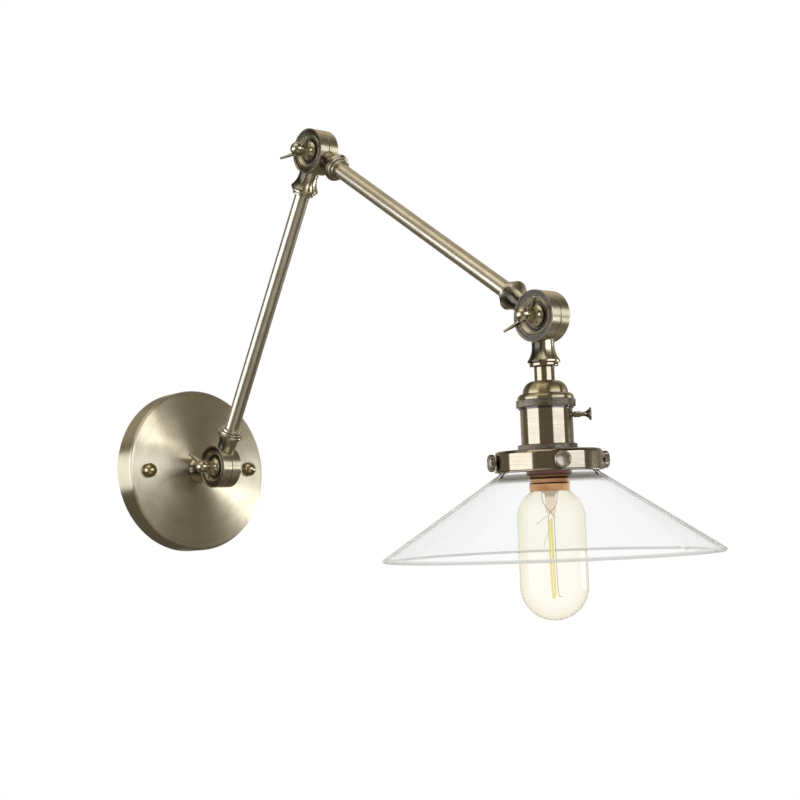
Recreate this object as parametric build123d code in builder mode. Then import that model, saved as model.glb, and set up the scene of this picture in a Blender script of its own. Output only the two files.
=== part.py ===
from build123d import *
import os
from math import cos, radians, sin, tan

# Swing arm wall lamp, in millimetres. The wall is the plane Y = 0, the lamp reaches out
# along -Y, Z is up and every hinge axis runs along X. The origin is the centre of the
# mounting bracket's back, on the wall.

# Stance: rises are degrees above level, seen reaching away from the wall
arm_length = 270          # hinge axis to hinge axis, the same for both arms
arm_1_rise = 57.5
arm_2_rise = -37.2
head_rise = -92.4
wall_wing_rise = -42.5
elbow_wing_rise = 13
head_wing_rise = 32

# Clearances
turning_fit = 0.05        # radial, between a pin and the bore that turns on it
pressed_fit = 0.01        # radial, between pieces screwed or pressed together
loose_fit = 0.3           # where a piece is only trapped
seam_gap = 0.2            # between the two halves of a knuckle

# Knuckles: two cast drums face to face on a bolt, each with a bell-shaped neck
drum_radius = 17
drum_half_width = 8.6
drum_edge = 0.4
seam_edge = 0.6           # rounding of each half's edge along the seam
face_rim = 0.9            # width of the flat rim round the outer face
face_dish_depth = 1       # shallow dish inside the rim
face_groove_radius = 13.6
face_groove_width = 0.8
face_groove_depth = 2
face_ridge_radius = 12.5
face_ridge_width = 0.6
face_ridge_depth = 0.6
bowl_floor_radius = 9.6   # where the bowl's wall and floor would meet
bowl_bend = 3.5
pocket_depth = 3.7
wireway_inner = 5.6
wireway_outer = 14.2
wireway_depth = 3.2
neck_root = 12
neck_waist_at = 19.5
neck_reach = 30.5         # hinge axis to the neck's flat end
neck_waist_radius = 7.4
neck_lip_radius = 10.6
neck_lip_height = 1.5
neck_bore_radius = 3.6
neck_undercut = 0.4       # between a neck and the other half's drum
tube_seat_depth = 7
nipple_seat_depth = 11

# Knuckle bolts, washers and wing nuts
bolt_radius = 3
bolt_head_radius = 5.6
bolt_head_height = 3.2
bolt_slot_width = 1.2
bolt_slot_depth = 1.3
washer_radius = 6.8
washer_thickness = 0.8
nut_collar_radius = 7.2
nut_collar_height = 0.9
nut_skirt_height = 5.4    # where the flared skirt runs out into the barrel
nut_barrel_radius = 4.8
nut_groove_depth = 0.5
nut_dome_radius = 5.3
nut_length = 17.6         # washer to the tip of the dome
nut_bore_depth = 10
wing_span = 34.8
wing_thickness = 1.4
wing_edge = 0.3
wing_foot = 3.8           # height of the wing's lower root above the washer
wing_root_height = 7
wing_tip_height = 0.8
wing_sweep = 5.8          # how far the tip is swept past the upper root

# Arms
tube_radius = 5.75
tube_wall = 1
collar_radius = 9.4
collar_small_radius = 8.1
collar_groove_radius = 7.3
collar_height = 4.1
collar_step_height = 1.6  # height of the collar's wider ring
collar_groove_width = 0.3
collar_slant = 0.4        # height of the groove's sloped wall

# Threaded nipples, M10
nipple_radius = 5
nipple_bore_radius = 3.6
lock_nut_flats = 13
lock_nut_height = 3.5
nipple_end = 1             # thread left standing past a lock nut
nipple_chamfer = 0.4
lock_washer_radius = 9.5
lock_washer_thickness = 1

# Wall plate, its bracket and what fixes them
plate_radius = 66.5
plate_depth = 19
plate_wall = 1.2
plate_edge_radius = 2.2
bracket_thickness = 2
bracket_width = 18
bracket_margin = 8        # bracket beyond each stud's axis
stud_spacing = 100
stud_radius = 2
wall_hole_spacing = 60
wall_hole_radius = 2.25
cable_hole_radius = 6.5
tongue_width = 28
tongue_reach = 42
tongue_corner = 3
stud_chamfer = 0.5
cap_nut_radius = 5.8
cap_nut_base = 2.8
cap_nut_bore_depth = 5.5
earth_screw_offset = 40
small_screw_radius = 2
small_head_radius = 3.6
small_head_height = 2.2
small_slot_width = 0.9
block_width = 24
block_height = 16
block_depth = 11
block_drop = 29           # block's centre below the plate's centre
block_corner = 1.5
block_edge = 0.6
pole_spacing = 14
pole_screw_spacing = 8
pole_screw_radius = 1.5
pole_well_radius = 2.1
pole_well_depth = 4
pole_screw_height = 2.4
pole_slot_width = 0.6
pole_slot_depth = 0.8
wire_hole_radius = 1.9
wire_hole_depth = 1       # plastic left between a wire hole and the screw wells

# Lampholder, measured down its axis from the head hinge
head_collar_height = 2.6
sleeve_radius = 6.6
cap_top = 42.3
cap_shoulder_at = 50.4
cap_bottom = 54.4
cap_crown_radius = 7.7
cap_dome_radius = 14.7
cap_shoulder_radius = 18.2
cap_lip = 1               # straight edge at the foot of the cap
sheet_wall = 1.1
knurl_ring_radius = 19.3
knurl_ring_height = 5
knurl_step_radius = 17.9
knurl_step_height = 1.2
shell_radius = 17
shade_ring_at = 83.2
shade_ring_radius = 19
shade_ring_height = 3.8
barrel_radius = 14.8
barrel_wall = 0.9
barrel_bottom = 103.6
barrel_flange_height = 1.2
screw_shell_wall = 0.4
core_top = 71.5
core_floor = 84
contact_width = 5
contact_sheet = 0.6
contact_foot = 12
contact_top_width = 4.8
contact_lean = 2          # how far the strip's leg slopes
switch_top = 57.5
switch_radius = 14.6
switch_edge = 0.8
knob_at = 64.7
knob_turn = -41           # degrees round the axis from straight away from the wall
knob_shaft_radius = 1.3
knob_sleeve_radius = 1.9
knob_sleeve_length = 5
knob_waist_length = 1.5
knob_waist_radius = 1.4
knob_disc_radius = 4.2
knob_disc_height = 1.6
knob_reach = 29.2
knob_hole_radius = 2.2

# Shade holder, its thumb screws and the glass shade
holder_radius = 34.8
holder_bottom = 100.8
holder_corner = 2.6
holder_bead = 0.6
thumb_screw_count = 4
thumb_screw_turn = 35
thumb_screw_at = 94.2
thumb_shank_radius = 1.5
thumb_head_radius = 5.6
thumb_head_height = 3.5
thumb_head_slant = 1      # height of the coned front of the head
thumb_head_gap = 1.2
shade_radius = 110
shade_shoulder_at = 100.45
shade_slope = 33.7
shade_wall = 2.6
shade_neck_radius = 30.3
shade_bead = 1.3
shade_bend = 5

# Bulb, T45 with an E27 cap
bulb_radius = 22
bulb_bottom = 196
bulb_shoulder_at = 129
bulb_shoulder_radius = 17.8
bulb_neck_radius = 12.4
bulb_neck_length = 4      # glass sunk into the cap
bulb_flare = 5            # height where the shoulder is already well open
bulb_wall = 0.9
bulb_cap_radius = 13.2
bulb_cap_bottom = 113.6
bulb_cap_length = 27
bulb_cap_wall = 0.5
bulb_thread_depth = 0.8
bulb_thread_pitch = 3.6
bulb_thread_turns = 5
bulb_thread_bottom = 107.5
bulb_thread_run = 0.5     # plain sleeve beside the thread
bulb_cap_crown = 6.8
bulb_contact_radius = 4.4
bulb_contact_height = 0.9
insulator_height = 1.6
stem_foot_height = 1.2
stem_flare_height = 6
stem_pinch_height = 3
stem_pinch_inset = 0.8
stem_tube_radius = 3.4
stem_pinch_at = 128
wire_radius = 0.45
support_hub_radius = 1.6
filament_radius = 0.3
filament_top = 138
filament_bottom = 181
filament_ring = 6.5
filament_strands = 4


def rising(angle):
    """Direction reaching away from the wall at an angle above level."""
    return Vector(0, -cos(radians(angle)), sin(radians(angle)))


def turning_plane(point, axis):
    """Plane with radius along its X and the given axis along its Y."""
    sideways = Vector(0, 0, 1) if abs(axis.Z) < 0.9 else Vector(1, 0, 0)
    radius_direction = axis.cross(sideways).normalized()
    return Plane(origin=point, x_dir=radius_direction, z_dir=radius_direction.cross(axis))


def turned(outline, radii, point, axis):
    """Solid turned about an axis from (radius, height) corners, each with its rounding."""
    with BuildPart() as piece:
        with BuildSketch(turning_plane(point, axis)):
            with BuildLine():
                FilletPolyline(*outline, radius=radii, close=True)
            make_face()
        revolve(axis=Axis(point, axis))
    return piece


def keep(piece, name):
    """Label a finished piece and write it out under its name."""
    piece.part.label = name
    export_step(piece.part, f"parts/{name}.step")


os.makedirs("parts", exist_ok=True)

hinge_axis = Vector(1, 0, 0)
away = Vector(0, -1, 0)
wall_centre = Vector(0, 0, 0)
arm_1_axis = rising(arm_1_rise)
arm_2_axis = rising(arm_2_rise)
head_axis = rising(head_rise)
head_front = rising(head_rise + 90)
wall_hinge = wall_centre + away * (plate_depth + neck_reach)
elbow_hinge = wall_hinge + arm_1_axis * arm_length
head_hinge = elbow_hinge + arm_2_axis * arm_length

# Depth of the pocket floor and of the dish, measured out from the knuckle's middle plane
pocket_floor = drum_half_width - pocket_depth
half_gap = seam_gap / 2


def knuckle_half(hinge, axis, side, bolt_bore, seat_radius, seat_depth):
    """One cast half of a knuckle: a dished drum on the given side, with its hollow neck."""
    face_axis = hinge_axis * side
    drum_plane = Plane(origin=hinge, x_dir=axis, z_dir=axis.cross(face_axis))
    rim_inner = drum_radius - face_rim
    dish_floor = drum_half_width - face_dish_depth
    groove_floor = drum_half_width - face_groove_depth
    groove_inner = face_groove_radius - face_groove_width
    ridge_top = drum_half_width - face_ridge_depth
    ridge_inner = face_ridge_radius - face_ridge_width
    over_face = drum_half_width + 1
    with BuildPart() as half:
        # Neck, turned about the arm's axis
        with BuildSketch(turning_plane(hinge, axis)):
            with BuildLine():
                root = Polyline(
                    (0, neck_root),
                    (neck_waist_radius, neck_root),
                    (neck_waist_radius, neck_waist_at),
                )
                bell = TangentArc(
                    root @ 1,
                    (neck_lip_radius, neck_reach - neck_lip_height),
                    tangent=(0, 1),
                )
                FilletPolyline(
                    bell @ 1,
                    (neck_lip_radius, neck_reach),
                    (0, neck_reach),
                    radius=[neck_lip_height / 3],
                )
                Line((0, neck_reach), (0, neck_root))
            make_face()
        revolve(axis=Axis(hinge, axis))
        # The neck stands clear of the other half's drum
        with BuildSketch(Plane(origin=hinge + face_axis * half_gap, z_dir=face_axis)):
            Circle(drum_radius + neck_undercut)
        extrude(amount=-2 * drum_half_width, mode=Mode.SUBTRACT)
        # Drum
        with BuildSketch(drum_plane):
            with BuildLine():
                FilletPolyline(
                    (0, half_gap),
                    (drum_radius, half_gap),
                    (drum_radius, drum_half_width),
                    (0, drum_half_width),
                    radius=[0, seam_edge, drum_edge, 0],
                    close=True,
                )
            make_face()
        revolve(axis=Axis(hinge, face_axis))
        # Outer face: dish, groove and ridge round a bowl with a flat floor
        with BuildSketch(drum_plane):
            with BuildLine():
                FilletPolyline(
                    (0, over_face),
                    (0, pocket_floor),
                    (bowl_floor_radius, pocket_floor),
                    (ridge_inner, ridge_top),
                    (face_ridge_radius, ridge_top),
                    (groove_inner, groove_floor),
                    (face_groove_radius, groove_floor),
                    (face_groove_radius, dish_floor),
                    (rim_inner, dish_floor),
                    (rim_inner, over_face),
                    radius=[0, 0, bowl_bend, 0.2, 0.2, 0.2, 0.2, 0.2, 0.5, 0],
                    close=True,
                )
            make_face()
        revolve(axis=Axis(hinge, face_axis), mode=Mode.SUBTRACT)
        # Ring-shaped wireway round the bolt, open to the other half
        with BuildSketch(drum_plane):
            with BuildLine():
                Polyline(
                    (wireway_inner, 0),
                    (wireway_outer, 0),
                    (wireway_outer, wireway_depth),
                    (wireway_inner, wireway_depth),
                    close=True,
                )
            make_face()
        revolve(axis=Axis(hinge, face_axis), mode=Mode.SUBTRACT)
        # Bolt hole through the hub
        with BuildSketch(Plane(origin=hinge, z_dir=face_axis)):
            Circle(bolt_bore)
        extrude(amount=drum_half_width, mode=Mode.SUBTRACT)
        # Wireway and seat bored down the neck
        with BuildSketch(Plane(origin=hinge + axis * neck_reach, z_dir=axis)):
            Circle(neck_bore_radius)
        extrude(amount=-(neck_reach - (wireway_inner + wireway_outer) / 2), mode=Mode.SUBTRACT)
        with BuildSketch(Plane(origin=hinge + axis * neck_reach, z_dir=axis)):
            Circle(seat_radius)
        extrude(amount=-seat_depth, mode=Mode.SUBTRACT)
    return half


turning_bore = bolt_radius + turning_fit
fixed_bore = bolt_radius + pressed_fit
tube_seat = tube_radius + pressed_fit
nipple_seat = nipple_radius + pressed_fit
inboard = -1
outboard = 1

# The half nearer the wall lies on the -X side of each knuckle, the other half on +X
keep(knuckle_half(wall_hinge, away * -1, inboard, turning_bore, nipple_seat, nipple_seat_depth),
     "wall_knuckle")
keep(knuckle_half(wall_hinge, arm_1_axis, outboard, fixed_bore, tube_seat, tube_seat_depth),
     "arm_1_lower_knuckle")
keep(knuckle_half(elbow_hinge, arm_1_axis * -1, inboard, turning_bore, tube_seat, tube_seat_depth),
     "arm_1_upper_knuckle")
keep(knuckle_half(elbow_hinge, arm_2_axis, outboard, fixed_bore, tube_seat, tube_seat_depth),
     "arm_2_upper_knuckle")
keep(knuckle_half(head_hinge, arm_2_axis * -1, inboard, turning_bore, tube_seat, tube_seat_depth),
     "arm_2_lower_knuckle")
keep(knuckle_half(head_hinge, head_axis, outboard, fixed_bore, nipple_seat, nipple_seat_depth),
     "head_knuckle")


def knuckle_bolt(hinge):
    """Bolt with its slotted head in the outboard pocket and its thread in the wing nut."""
    tip = pocket_floor + washer_thickness + nut_bore_depth - loose_fit
    with BuildPart() as bolt:
        with BuildSketch(Plane(origin=hinge + hinge_axis * pocket_floor, z_dir=hinge_axis)):
            Circle(bolt_radius)
        extrude(amount=-(pocket_floor + tip))
        with BuildSketch(Plane(origin=hinge + hinge_axis * pocket_floor, z_dir=hinge_axis)):
            Circle(bolt_head_radius)
        extrude(amount=bolt_head_height)
        head_top = hinge + hinge_axis * (pocket_floor + bolt_head_height)
        fillet(faces().sort_by(Axis.X)[-1].edges(), radius=bolt_head_height / 4)
        with BuildSketch(Plane(origin=head_top, x_dir=(0, 1, 0), z_dir=(1, 0, 0))):
            Rectangle(2 * bolt_head_radius, bolt_slot_width, rotation=35)
        extrude(amount=-bolt_slot_depth, mode=Mode.SUBTRACT)
    return bolt


def knuckle_washer(hinge):
    """Flat washer between the wing nut and the floor of the inboard pocket."""
    with BuildPart() as washer:
        with BuildSketch(Plane(origin=hinge - hinge_axis * pocket_floor, z_dir=(-1, 0, 0))):
            Circle(washer_radius)
            Circle(bolt_radius + loose_fit, mode=Mode.SUBTRACT)
        extrude(amount=washer_thickness)
    return washer


def wing_nut(hinge, rise):
    """Domed wing nut: a turned barrel with two thin swept wings, bored from below."""
    seat = hinge - hinge_axis * (pocket_floor + washer_thickness)
    outwards = hinge_axis * -1
    dome_at = nut_length - nut_dome_radius
    groove_at = dome_at - 4 * nut_groove_depth
    wing_direction = rising(rise)
    half_span = wing_span / 2
    wing_top = wing_foot + wing_root_height
    with BuildPart() as nut:
        # Barrel with a flared skirt at its foot, a groove and a ball end
        with BuildSketch(turning_plane(seat, outwards)):
            with BuildLine():
                foot = Polyline((0, 0), (nut_collar_radius, 0), (nut_collar_radius, nut_collar_height))
                skirt = TangentArc(
                    (nut_barrel_radius, nut_skirt_height), foot @ 1, tangent=(0, -1)
                )
                barrel = Polyline(
                    skirt @ 0,
                    (nut_barrel_radius, groove_at),
                    (nut_barrel_radius - nut_groove_depth, groove_at + nut_groove_depth),
                    (nut_dome_radius, dome_at),
                )
                ball = CenterArc((0, dome_at), nut_dome_radius, 0, 90)
                Line(ball @ 1, foot @ 0)
            make_face()
        revolve(axis=Axis(seat, outwards))
        # Wings: convex below, slightly hollow above, swept towards the ball end
        with BuildSketch(Plane(origin=seat, x_dir=wing_direction,
                               z_dir=wing_direction.cross(outwards))):
            with BuildLine():
                below = ThreePointArc(
                    (0, wing_foot),
                    (half_span * 0.6, wing_foot + wing_root_height * 0.85),
                    (half_span, wing_top + wing_sweep - wing_tip_height),
                )
                tip = Line(below @ 1, (half_span - wing_tip_height, wing_top + wing_sweep))
                above = ThreePointArc(
                    tip @ 1,
                    (half_span * 0.55, wing_top + wing_sweep * 0.35),
                    (0, wing_top),
                )
                Line(above @ 1, below @ 0)
            make_face()
            mirror(about=Plane.YZ)
        extrude(amount=wing_thickness / 2, both=True)
        far_edges = edges().filter_by(
            lambda edge: (edge.center() - seat).cross(outwards).length > half_span * 0.55
        )
        fillet(far_edges, radius=wing_edge)
        # Blind threaded bore
        with BuildSketch(Plane(origin=seat, z_dir=outwards)):
            Circle(turning_bore)
        extrude(amount=nut_bore_depth, mode=Mode.SUBTRACT)
    return nut


for place, hinge, rise in (
    ("wall", wall_hinge, wall_wing_rise),
    ("elbow", elbow_hinge, elbow_wing_rise),
    ("head", head_hinge, head_wing_rise),
):
    keep(knuckle_bolt(hinge), f"{place}_knuckle_bolt")
    keep(knuckle_washer(hinge), f"{place}_knuckle_washer")
    keep(wing_nut(hinge, rise), f"{place}_wing_nut")


def arm_tube(start, axis):
    """Straight brass tube, its ends screwed into the necks at both hinges."""
    first_end = neck_reach - tube_seat_depth + loose_fit
    with BuildPart() as tube:
        with BuildSketch(Plane(origin=start + axis * first_end, z_dir=axis)):
            Circle(tube_radius)
            Circle(tube_radius - tube_wall, mode=Mode.SUBTRACT)
        extrude(amount=arm_length - 2 * first_end)
    return tube


def tube_collar(hinge, axis):
    """Turned lock collar on the tube, tight against the neck's flat end."""
    bore = tube_radius + pressed_fit
    top = neck_reach + collar_height
    groove_low = neck_reach + collar_step_height + collar_slant
    groove_high = groove_low + collar_groove_width
    outline = [
        (bore, neck_reach),
        (collar_radius, neck_reach),
        (collar_radius, groove_low - collar_slant),
        (collar_groove_radius, groove_low),
        (collar_groove_radius, groove_high),
        (collar_small_radius, groove_high + collar_slant),
        (collar_small_radius, top),
        (bore, top),
    ]
    return turned(outline, [0, 0.5, 0.5, 0, 0, 0.1, 0.5, 0], hinge, axis)


for arm, low_hinge, high_hinge, axis, names in (
    ("arm_1", wall_hinge, elbow_hinge, arm_1_axis, ("lower", "upper")),
    ("arm_2", elbow_hinge, head_hinge, arm_2_axis, ("upper", "lower")),
):
    keep(arm_tube(low_hinge, axis), f"{arm}_tube")
    keep(tube_collar(low_hinge, axis), f"{arm}_{names[0]}_collar")
    keep(tube_collar(high_hinge, axis * -1), f"{arm}_{names[1]}_collar")

# Wall plate: spun brass dish, open at the back
plate_back = 0
front_inside = plate_depth - plate_wall
plate_dish = turned(
    [
        (plate_radius - plate_wall, plate_back),
        (plate_radius, plate_back),
        (plate_radius, plate_depth),
        (nipple_radius + loose_fit, plate_depth),
        (nipple_radius + loose_fit, front_inside),
        (plate_radius - plate_wall, front_inside),
    ],
    [0, 0, plate_edge_radius, 0, 0, plate_edge_radius - plate_wall],
    wall_centre,
    away,
)
with BuildPart() as wall_plate:
    add(plate_dish.part)
    with BuildSketch(Plane(origin=away * plate_depth, x_dir=(1, 0, 0), z_dir=away)):
        with GridLocations(stud_spacing, 0, 2, 1):
            Circle(stud_radius + loose_fit)
    extrude(amount=-2 * plate_wall, mode=Mode.SUBTRACT)
keep(wall_plate, "wall_plate")

# Mounting bracket: steel strap with a lower tongue, flat on the wall
bracket_plane = Plane(origin=wall_centre, x_dir=(1, 0, 0), z_dir=away)
bracket_front = Plane(origin=away * bracket_thickness, x_dir=(1, 0, 0), z_dir=away)
with BuildPart() as mounting_bracket:
    with BuildSketch(bracket_plane):
        SlotOverall(stud_spacing + 2 * bracket_margin, bracket_width)
        with Locations((0, -tongue_reach / 2)):
            RectangleRounded(tongue_width, tongue_reach, tongue_corner)
        Circle(cable_hole_radius, mode=Mode.SUBTRACT)
        with GridLocations(wall_hole_spacing, 0, 2, 1):
            Circle(wall_hole_radius, mode=Mode.SUBTRACT)
        with GridLocations(stud_spacing, 0, 2, 1):
            Circle(stud_radius + pressed_fit, mode=Mode.SUBTRACT)
        with Locations((-earth_screw_offset, 0), (0, -block_drop)):
            Circle(small_screw_radius + pressed_fit, mode=Mode.SUBTRACT)
    extrude(amount=bracket_thickness)
keep(mounting_bracket, "mounting_bracket")

# Studs screwed through the bracket, standing out through the plate
stud_length = plate_depth + cap_nut_bore_depth - loose_fit
with BuildPart() as bracket_studs:
    with BuildSketch(bracket_plane):
        with GridLocations(stud_spacing, 0, 2, 1):
            Circle(stud_radius)
    extrude(amount=stud_length)
    chamfer(faces().sort_by(Axis.Y)[:2].edges(), length=stud_chamfer)
keep(bracket_studs, "bracket_studs")

# Domed cap nuts on the studs
with BuildPart() as cap_nuts:
    for side in (-1, 1):
        foot = Vector(side * stud_spacing / 2, -plate_depth, 0)
        with BuildSketch(turning_plane(foot, away)):
            with BuildLine():
                base = Polyline((0, 0), (cap_nut_radius, 0), (cap_nut_radius, cap_nut_base))
                dome = CenterArc((0, cap_nut_base), cap_nut_radius, 0, 90)
                Line(dome @ 1, base @ 0)
            make_face()
        revolve(axis=Axis(foot, away))
    with BuildSketch(Plane(origin=away * plate_depth, x_dir=(1, 0, 0), z_dir=away)):
        with GridLocations(stud_spacing, 0, 2, 1):
            Circle(stud_radius + pressed_fit)
    extrude(amount=cap_nut_bore_depth, mode=Mode.SUBTRACT)
keep(cap_nuts, "cap_nuts")


def pan_screw(point, axis, radius, length, head_radius, head_height):
    """Pan-headed screw seated at a point, its head standing out along the axis."""
    with BuildPart() as screw:
        with BuildSketch(Plane(origin=point, z_dir=axis)):
            Circle(head_radius)
        extrude(amount=head_height)
        fillet(faces().sort_by(Axis(point, axis))[-1].edges(), radius=head_height / 3)
        with BuildSketch(Plane(origin=point + axis * head_height, z_dir=axis)):
            Rectangle(2 * head_radius, small_slot_width)
        extrude(amount=-head_height / 2, mode=Mode.SUBTRACT)
        with BuildSketch(Plane(origin=point, z_dir=axis)):
            Circle(radius)
        extrude(amount=-length)
    return screw


bracket_face = away * bracket_thickness
keep(pan_screw(bracket_face - hinge_axis * earth_screw_offset, away, small_screw_radius,
               bracket_thickness, small_head_radius, small_head_height), "earth_screw")

# Two-pole terminal block screwed to the tongue
block_centre = Vector(0, 0, -block_drop)
block_front = bracket_thickness + block_depth
with BuildPart() as terminal_block:
    with BuildSketch(Plane(origin=block_centre + bracket_face, x_dir=(1, 0, 0), z_dir=away)):
        RectangleRounded(block_width, block_height, block_corner)
    extrude(amount=block_depth)
    chamfer(faces().sort_by(Axis.Y)[0].edges(), length=block_edge)
    with BuildSketch(Plane(origin=block_centre + away * block_front, x_dir=(1, 0, 0), z_dir=away)):
        with GridLocations(pole_spacing, pole_screw_spacing, 2, 2):
            Circle(pole_well_radius)
        Circle(small_head_radius + loose_fit)
    extrude(amount=-pole_well_depth, mode=Mode.SUBTRACT)
    with BuildSketch(Plane(origin=block_centre + away * block_front, x_dir=(1, 0, 0), z_dir=away)):
        Circle(small_screw_radius + pressed_fit)
    extrude(amount=-block_depth, mode=Mode.SUBTRACT)
    wire_hole_at = away * (block_front - pole_well_depth - wire_hole_radius - wire_hole_depth)
    with BuildSketch(Plane(origin=wire_hole_at, x_dir=(1, 0, 0), z_dir=(0, 0, -1))):
        with GridLocations(pole_spacing, 0, 2, 1):
            Circle(wire_hole_radius)
    extrude(amount=block_drop + block_height, mode=Mode.SUBTRACT)
keep(terminal_block, "terminal_block")

pole_screw_seat = block_front - pole_well_depth
with BuildPart() as terminal_screws:
    with BuildSketch(Plane(origin=block_centre + away * pole_screw_seat,
                           x_dir=(1, 0, 0), z_dir=away)):
        with GridLocations(pole_spacing, pole_screw_spacing, 2, 2):
            Circle(pole_screw_radius)
    extrude(amount=pole_screw_height)
    with BuildSketch(Plane(origin=block_centre + away * (pole_screw_seat + pole_screw_height),
                           x_dir=(1, 0, 0), z_dir=away)):
        with GridLocations(pole_spacing, pole_screw_spacing, 2, 2):
            Rectangle(2 * pole_screw_radius, pole_slot_width)
    extrude(amount=-pole_slot_depth, mode=Mode.SUBTRACT)
keep(terminal_screws, "terminal_screws")

block_screw_seat = block_centre + away * (block_front - pole_well_depth)
keep(pan_screw(block_screw_seat, away, small_screw_radius,
               block_front - pole_well_depth, small_head_radius, small_head_height), "block_screw")


def nipple(point, axis, length):
    """Hollow threaded nipple that carries the wires through a joint."""
    with BuildPart() as piece:
        with BuildSketch(Plane(origin=point, z_dir=axis)):
            Circle(nipple_radius)
            Circle(nipple_bore_radius, mode=Mode.SUBTRACT)
        extrude(amount=length)
        chamfer(edges().filter_by(GeomType.CIRCLE).group_by(SortBy.RADIUS)[-1], length=nipple_chamfer)
    return piece


def lock_nut(point, axis):
    """Hexagon lock nut on a nipple."""
    with BuildPart() as nut:
        with BuildSketch(Plane(origin=point, z_dir=axis)):
            RegularPolygon(lock_nut_flats / 2, 6, major_radius=False)
            Circle(nipple_radius + pressed_fit, mode=Mode.SUBTRACT)
        extrude(amount=lock_nut_height)
    return nut


# Nipple, washer and nut that hold the wall knuckle to the plate
wall_seat = wall_hinge - away * (neck_reach - nipple_seat_depth + loose_fit)
plate_nipple_back = front_inside - lock_washer_thickness - lock_nut_height - nipple_end
keep(nipple(away * plate_nipple_back, away, -wall_seat.Y - plate_nipple_back), "plate_nipple")
with BuildPart() as plate_washer:
    with BuildSketch(Plane(origin=away * front_inside, z_dir=away * -1)):
        Circle(lock_washer_radius)
        Circle(nipple_radius + pressed_fit, mode=Mode.SUBTRACT)
    extrude(amount=lock_washer_thickness)
keep(plate_washer, "plate_washer")
keep(lock_nut(away * (front_inside - lock_washer_thickness), away * -1), "plate_lock_nut")


def head_at(distance):
    """Point on the lampholder's axis, at a distance below the head hinge."""
    return head_hinge + head_axis * distance


def head_direction(turn):
    """Direction square to the lampholder's axis, turned from straight away from the wall."""
    return head_front * cos(radians(turn)) - hinge_axis * sin(radians(turn))


# Ring and sleeve between the head knuckle and the lampholder, on one nipple
sleeve_top = neck_reach + head_collar_height
sleeve_bore = nipple_radius + pressed_fit
keep(turned(
    [(sleeve_bore, neck_reach), (collar_radius, neck_reach),
     (collar_radius, sleeve_top), (sleeve_bore, sleeve_top)],
    [0, 0.5, 0.9, 0], head_hinge, head_axis), "head_collar")
keep(turned(
    [(sleeve_bore, sleeve_top), (sleeve_radius, sleeve_top),
     (sleeve_radius, cap_top), (sleeve_bore, cap_top)],
    [0, 0.3, 0.3, 0], head_hinge, head_axis), "head_sleeve")
nipple_start = neck_reach - nipple_seat_depth + loose_fit
cap_nut_seat = cap_top + sheet_wall
nipple_bottom = cap_nut_seat + lock_nut_height + nipple_end
keep(nipple(head_at(nipple_start), head_axis, nipple_bottom - nipple_start), "head_nipple")
keep(lock_nut(head_at(cap_nut_seat), head_axis), "cap_lock_nut")

# Lampholder cap: spun dome on a rounded shoulder
skirt_top = cap_bottom - cap_lip
with BuildPart() as socket_cap:
    with BuildSketch(turning_plane(head_hinge, head_axis)):
        with BuildLine():
            crown = Line((nipple_radius + pressed_fit, cap_top), (cap_crown_radius, cap_top))
            dome = EllipticalCenterArc(
                (cap_crown_radius, cap_shoulder_at),
                cap_dome_radius - cap_crown_radius, cap_shoulder_at - cap_top, 270, arc_size=90
            )
            shoulder = EllipticalCenterArc(
                (cap_dome_radius, skirt_top),
                cap_shoulder_radius - cap_dome_radius, skirt_top - cap_shoulder_at, 270, arc_size=90
            )
            skirt = Polyline(
                shoulder @ 1,
                (cap_shoulder_radius, cap_bottom),
                (cap_shoulder_radius - sheet_wall, cap_bottom),
                (cap_shoulder_radius - sheet_wall, skirt_top),
            )
            inner_shoulder = EllipticalCenterArc(
                (cap_dome_radius - sheet_wall, skirt_top),
                cap_shoulder_radius - cap_dome_radius,
                skirt_top - cap_shoulder_at - sheet_wall, 270, arc_size=90
            )
            inner_dome = EllipticalCenterArc(
                (cap_crown_radius, cap_shoulder_at + sheet_wall),
                cap_dome_radius - cap_crown_radius - sheet_wall,
                cap_shoulder_at - cap_top, 270, arc_size=90
            )
            Polyline(inner_dome @ 0, (nipple_radius + pressed_fit, cap_top + sheet_wall), crown @ 0)
        make_face()
    revolve(axis=Axis(head_hinge, head_axis))
keep(socket_cap, "socket_cap")

# Knurled ring that joins the cap to the shell
knurl_ring_bottom = cap_bottom + knurl_ring_height
ring_bore = shell_radius + pressed_fit
keep(turned(
    [(ring_bore, cap_bottom), (knurl_ring_radius, cap_bottom),
     (knurl_ring_radius, knurl_ring_bottom), (knurl_step_radius, knurl_ring_bottom),
     (knurl_step_radius, knurl_ring_bottom + knurl_step_height),
     (ring_bore, knurl_ring_bottom + knurl_step_height)],
    [0, 0.4, 0.4, 0, 0.3, 0], head_hinge, head_axis), "knurled_ring")

# Lampholder shell, with a round hole for the switch shaft
with BuildPart() as socket_shell:
    with BuildSketch(Plane(origin=head_at(cap_bottom), z_dir=head_axis)):
        Circle(shell_radius)
        Circle(shell_radius - sheet_wall, mode=Mode.SUBTRACT)
    extrude(amount=shade_ring_at - cap_bottom)
    with BuildSketch(Plane(origin=head_at(knob_at), z_dir=head_direction(knob_turn))):
        Circle(knob_hole_radius)
    extrude(amount=shell_radius + 1, mode=Mode.SUBTRACT)
keep(socket_shell, "socket_shell")

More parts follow.
